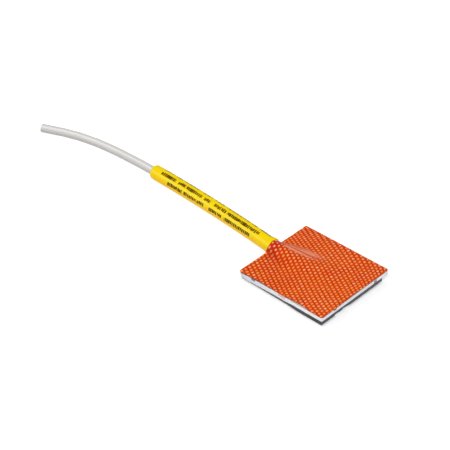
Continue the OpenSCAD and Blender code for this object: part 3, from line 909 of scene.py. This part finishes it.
def lead_rings(profile, sides):
    """Rings round the lead's arc and their measures. The profile gives each ring's place
    along the arc, its radius, and how far it leans to lie flat against the patch's edge."""
    turn, signed = ring_turns(sides)
    rings, lengths = [], []
    for s, r, lean in profile:
        side, height = r * np.sin(turn), r * np.cos(turn)
        along = s - (ASIDE[0] * side + ABOVE[0] * height) / OUT[0] * lean
        rings.append(lead_point(along, side, height))
        lengths.append(along)
    turns = np.tile(signed * SLEEVE_R, (len(profile), 1))
    return np.array(rings), {"lead_s": np.array(lengths), "lead_turn": turns}


def make_sleeve():
    """The sleeve, necked down under the hood and flared against its lip."""
    inner = SLEEVE_R - SLEEVE_WALL
    neck = [(-1.1, 1.19, 0.0), (-1.1, 1.32, 0.0), (-0.6, 1.4, 0.4), (-0.06, 1.478, 1.0)]
    flare = [
        (0.02, 1.55, 1.0), (0.03, 2.06, 1.0), (0.08, 2.17, 1.0), (0.35, 2.19, 0.9),
        (0.7, 2.16, 0.7), (1.1, 2.1, 0.4), (1.5, 2.03, 0.2), (2.0, SLEEVE_R, 0.0),
    ]
    body = [(s, SLEEVE_R, 0.0) for s in np.arange(3.0, SLEEVE_LENGTH - 0.9, 1.0)]
    end = [
        (SLEEVE_END - 0.5, SLEEVE_R - 0.01, 0.0),
        (SLEEVE_END - 0.26, SLEEVE_R - 0.05, 0.0),
        (SLEEVE_END - 0.1, SLEEVE_R - 0.13, 0.0),
        (SLEEVE_END - 0.01, SLEEVE_R - 0.24, 0.0),
        (SLEEVE_END - 0.03, inner + 0.1, 0.0),
        (SLEEVE_END - 0.15, inner + 0.01, 0.0),
    ]
    bore = [(s, inner, 0.0) for s in np.arange(SLEEVE_LENGTH - 1.0, 1.5, -2.0)]
    throat = [(0.85, inner, 0.0), (0.8, 1.19, 0.0)]
    rings, measures = lead_rings(neck + flare + body + end + bore + throat, 72)
    piece = loft("shrunk_sleeve", rings, printed_sleeve(), measures, closed=True)
    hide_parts("shrink_sleeve")


def run_along(points):
    """Length run at each point of a line."""
    return np.concatenate([[0], np.cumsum(np.linalg.norm(np.diff(points, axis=0), axis=1))])


def smooth_path(points, spacing):
    """A smooth curve through points, resampled at an even spacing."""
    p = np.asarray(points, float)
    p = np.vstack([2 * p[0] - p[1], p, 2 * p[-1] - p[-2]])
    fine = []
    for n in range(1, len(p) - 2):
        a, b, c, d = p[n - 1:n + 3]
        bend = 2 * a - 5 * b + 4 * c - d
        twist = 3 * b - a - 3 * c + d
        for t in np.linspace(0, 1, 20, endpoint=False):
            fine.append(0.5 * (2 * b + (c - a) * t + bend * t * t + twist * t ** 3))
    fine.append(p[-2])
    fine = np.array(fine)
    run = run_along(fine)
    stations = np.linspace(0, run[-1], int(run[-1] / spacing) + 1)
    path = np.stack([np.interp(stations, run, fine[:, k]) for k in range(3)], -1)
    return path, stations


def path_rings(path, profile, sides, offset=(0.0, 0.0)):
    """Rings round a path, or beside it, and their measures, for pairs of place on the path
    and radius."""
    ahead = np.gradient(path, axis=0)
    ahead /= np.linalg.norm(ahead, axis=1)[:, None]
    side = np.cross(ahead, (0, 0, 1))
    side /= np.linalg.norm(side, axis=1)[:, None]
    up = np.cross(side, ahead)
    run = run_along(path)
    turn, signed = ring_turns(sides)
    rings = []
    for s, r in profile:
        here, across, above = (
            np.array([np.interp(s, run, part[:, k]) for k in range(3)]) for part in (path, side, up)
        )
        centre = here + across * offset[0] + above * offset[1]
        if s > run[-1]:
            centre = centre + ahead[-1] * (s - run[-1])
        rings.append(centre + r * (np.sin(turn)[:, None] * across + np.cos(turn)[:, None] * above))
    places, radii = np.array(profile).T
    lengths = np.broadcast_to(places[:, None], (len(profile), sides))
    return np.array(rings), {"lead_s": lengths, "lead_turn": radii[:, None] * signed}


def cut_cores(path, total):
    """The ends of the three cores and of their strands, which the jacket's cut shows."""
    depth = 2.5
    skin_profile = [(total - depth, CORE_BORE_R)]
    skin_profile += [(total - depth + 0.49 * n, CORE_R) for n in range(6)]
    skin_profile += [(total - 0.02, CORE_R - 0.02), (total - 0.02, CORE_BORE_R)]
    skin_profile += [(total - 0.5 * n, CORE_BORE_R) for n in range(1, 5)]
    strand_profile = [(total - 2.4, STRAND_R), (total - 0.03, STRAND_R), (total - 0.01, STRAND_R - 0.014)]
    pieces = []
    for n, (slot, *colours) in enumerate(CORES):
        angle = math.radians(90 + 120 * n)
        place = (CORE_RING * math.sin(angle), CORE_RING * math.cos(angle))
        skin, _ = path_rings(path, skin_profile, 20, place)
        plastic = speckled(f"core_skin_{n + 1}", *colours, 0.38)
        piece = loft(f"cut_core_{n + 1}", skin, plastic, closed=True)
        pieces.append(piece)
        metal = speckled(f"cut_copper_{n + 1}", *TINNED, 0.32, 1.0)
        for k in range(7):
            spin = math.radians(60 * k)
            away = STRAND_RING if k else 0.0
            centre = (place[0] + away * math.cos(spin), place[1] + away * math.sin(spin))
            strand, _ = path_rings(path, strand_profile, 10, centre)
            piece = loft(f"cut_strand_{n + 1}_{k + 1}", strand, metal)
            pieces.append(piece)
    return pieces


def make_cable():
    start = lead_point(SLEEVE_LENGTH)
    path, stations = smooth_path([start] + CABLE_POINTS, 0.5)
    total = stations[-1]
    profile = [(s, JACKET_R) for s in stations[:-2]]
    profile += [(total - 0.12, JACKET_R), (total - 0.03, JACKET_R - 0.03), (total, JACKET_R - 0.1)]
    profile += [(total - 0.6 * n, JACKET_BORE_R) for n in range(6)]
    rings, measures = path_rings(path, profile, 40)
    jacket = loft("cable_jacket", rings, milky_jacket(), measures)
    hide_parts("free_cable")
    tuple(start * MM)
    cut_cores(path, total)


def dress_inner_nodes():
    """Looks of the CAD nodes that stay inside: two colours, roughness and metallic."""
    tinned = (*TINNED, 0.3, 1.0)
    plated = ((0.74, 0.74, 0.7), (0.66, 0.66, 0.63), 0.36, 1.0)
    looks = {
        "hood_filling": ((0.72, 0.2, 0.08), (0.62, 0.15, 0.06), 0.5),
        "sleeve_lining": ((0.86, 0.72, 0.3), (0.8, 0.64, 0.24), 0.45),
        "jacket_end": ((0.8, 0.8, 0.78), (0.75, 0.75, 0.74), 0.38),
        "splice_single": plated,
        "splice_double": plated,
        "chip_wire_1": tinned,
        "chip_wire_2": tinned,
        "sensing_chip": ((0.95, 0.95, 0.92), (0.9, 0.9, 0.87), 0.6),
        "platinum_track": ((0.86, 0.87, 0.88), (0.8, 0.81, 0.82), 0.25, 1.0),
        "chip_glass": ((0.5, 0.7, 0.62), (0.44, 0.64, 0.56), 0.15),
        "wire_bead": ((0.88, 0.9, 0.84), (0.82, 0.85, 0.79), 0.2),
    }
    for n, (_, *colours) in enumerate(CORES):
        looks[f"insulation_{n + 1}"] = (*colours, 0.38)
        looks[f"conductor_{n + 1}"] = tinned
    for name, look in looks.items():
        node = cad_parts[name]
        node.data.materials.clear()
        node.data.materials.append(speckled(name + "_finish", *look))


make_cable()
make_sleeve()
make_cover()
make_pad()
make_base()
dress_inner_nodes()


# Floor, background and light, with sizes in metres

FLOOR_HALF = 3.0
FLOOR_DROP = 0.02 * MM
LAMP_AIM = Vector((-0.03, 0, 0))


def pale_floor():
    """A floor that glows to white away from the patch, with its glow held down beside it as painted
    shadow over the patch's own.
    """
    f = Finish("pale_floor")
    place = f.place()
    grain = f.noise(place, 30.0, 2.0)
    x, y = (f.node("ShaderNodeSeparateXYZ", values={"Vector": place}, out=n) / MM for n in (0, 1))
    right, left, away, near = x - HALF, -x - HALF, y - HALF, -y - HALF

    # The painted shadow reaches further in along the near edge, where the base is cut back, more so
    # towards the left.
    near += x.step(6.0, 1.0, 0.0, 0.45) + x.step(1.0, -12.0, 0.0, 0.52)

    # How fast the painted shadow fades to each side
    sides = [(right, 0.95), (left, 4.0), (away, 1.8), (near, 3.6)]
    outside = sum((side.highest(0.0) * weight) ** 2 for side, weight in sides) ** 0.5
    fill = outside.step(0.0, 0.75, 0.06, 0.42) + outside.step(0.75, 9.0, 0.0, 0.3)
    fill += outside.step(5.0, 22.0, 0.0, 0.28)

    # Painted light also lifts the floor where it shows under the cut-away far corner and the bites in the
    # base's right edge, and at the left edge.
    open_corner = right.step(-4.0, -1.5) * away.step(-4.0, -1.5)
    bites = y.step(-7.9, -7.5) * y.step(-2.0, -2.8) * right.step(-0.6, -0.35) * right.step(0.9, 0.1)
    fill = fill.highest(open_corner * 0.5).highest(bites * 0.42)
    fill = fill.highest(left.step(-0.9, 0.2, 0.0, 0.95))

    grey = f.blend(grain, (0.8, 0.8, 0.8), (0.81, 0.81, 0.81))
    plain = f.node("ShaderNodeBsdfDiffuse", values={"Color": grey})
    lift = f.blend(fill, (0.0, 0.0, 0.0), (0.7, 0.7, 0.7))
    glow = f.node("ShaderNodeEmission", values={"Color": lift, "Strength": 1.0})
    lit = f.node("ShaderNodeAddShader", values={0: plain, 1: glow})
    return f.surface(f.node("ShaderNodeMixShader", values={0: f.shown(), 1: plain, 2: lit}))


def make_floor():
    corners = [(-1, -1), (1, -1), (1, 1), (-1, 1)]
    mesh = bpy.data.meshes.new("floor")
    mesh.from_pydata([(x * FLOOR_HALF, y * FLOOR_HALF, 0) for x, y in corners], [], [(0, 1, 2, 3)])
    mesh.materials.append(pale_floor())
    floor = bpy.data.objects.new("floor", mesh)
    floor.location = (0, 0, -FLOOR_DROP)
    bpy.context.scene.collection.objects.link(floor)


def light_world():
    """Soft light from all round, twice as bright where the background itself shows."""
    f = Finish("studio", world=True)
    soft, bright = (f.node("ShaderNodeBackground", values={"Strength": s}) for s in (0.5, 1.0))
    mixed = f.node("ShaderNodeMixShader", values={0: f.shown(), 1: soft, 2: bright})
    bpy.context.scene.world = f.surface(mixed)


def lamp(name, azimuth, elevation, distance, size, power):
    """A soft square lamp that faces the part. Its angles are in degrees."""
    light = bpy.data.lights.new(name, "AREA")
    light.size = size
    light.energy = power
    stand = bpy.data.objects.new(name, light)
    back = towards(azimuth, elevation)
    stand.location = LAMP_AIM + back * distance
    stand.rotation_euler = back.to_track_quat("Z", "Y").to_euler()
    bpy.context.scene.collection.objects.link(stand)


make_floor()
light_world()
lamp("key", azimuth=32, elevation=60, distance=0.8, size=0.4, power=2.6)
lamp("left_fill", azimuth=-35, elevation=28, distance=0.9, size=0.4, power=1.5)
lamp("right_fill", azimuth=100, elevation=30, distance=0.9, size=0.6, power=1.3)
bpy.context.scene.view_settings.view_transform = "Standard"
